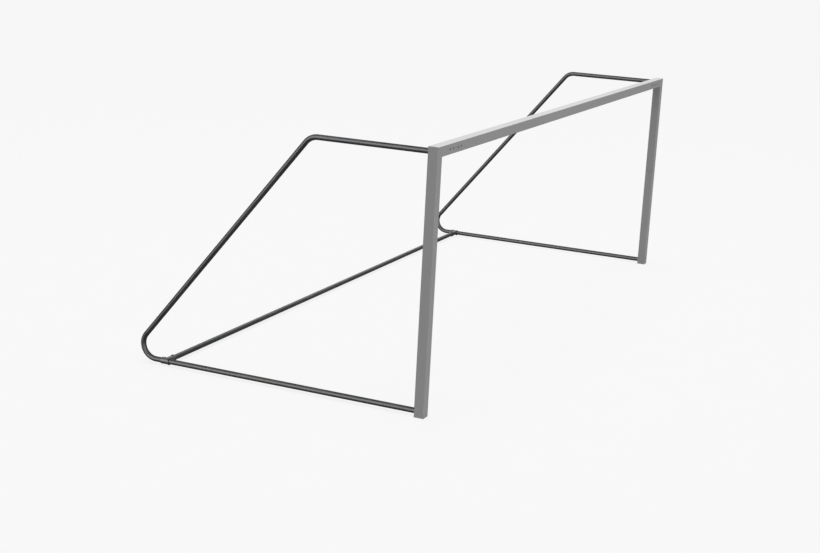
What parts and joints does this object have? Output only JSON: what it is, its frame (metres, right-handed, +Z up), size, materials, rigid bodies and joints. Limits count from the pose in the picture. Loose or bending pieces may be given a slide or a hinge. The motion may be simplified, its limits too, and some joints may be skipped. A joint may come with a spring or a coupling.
{
  "type": "soccer goal frame",
  "caption": "Full-size portable soccer goal frame: square front posts and crossbar, bent round tube side frames and a rear ground bar held in pipe tees.",
  "frame": {"origin": "on the ground, at the middle of the frame's footprint", "axes": "+X along the crossbar, +Y from the goal mouth to the back, +Z up"},
  "size_m": [7.52, 3.1576, 2.54],
  "materials": {
    "front_paint": "satin grey coating on square extrusion",
    "tube_paint": "black coated round tube, slightly mottled",
    "tee_casting": "black coated casting",
    "dark_bolts": "dark zinc",
    "plain_steel": "bright, hidden inside",
    "black_plastic": "moulded",
    "blank_plate": "blank grey plate"
  },
  "bodies": {
    "root": {"left_post": "front_paint", "right_post": "front_paint", "left_corner_stub": "front_paint", "right_corner_stub": "front_paint", "left_splice_sleeve": "plain_steel", "right_splice_sleeve": "plain_steel", "left_tapped_strip": "plain_steel", "right_tapped_strip": "plain_steel", "left_crossbar_bolts": "dark_bolts", "right_crossbar_bolts": "dark_bolts", "left_foot_plug": "black_plastic", "right_foot_plug": "black_plastic", "left_blank_plate": "blank_plate", "right_blank_plate": "blank_plate", "left_top_spigot": "plain_steel", "right_top_spigot": "plain_steel", "left_base_spigot": "plain_steel", "right_base_spigot": "plain_steel", "left_upper_stay": "tube_paint", "right_upper_stay": "tube_paint", "left_ground_rail": "tube_paint", "right_ground_rail": "tube_paint", "left_stay_sleeve": "plain_steel", "right_stay_sleeve": "plain_steel", "left_stay_screws": "dark_bolts", "right_stay_screws": "dark_bolts", "left_tee": "tee_casting", "right_tee": "tee_casting", "left_tee_set_screws": "dark_bolts", "right_tee_set_screws": "dark_bolts", "crossbar": "front_paint", "rear_bar_left": "tube_paint", "rear_bar_right": "tube_paint", "rear_bar_sleeve": "plain_steel", "rear_bar_screws": "dark_bolts"}
  },
  "joints": []
}
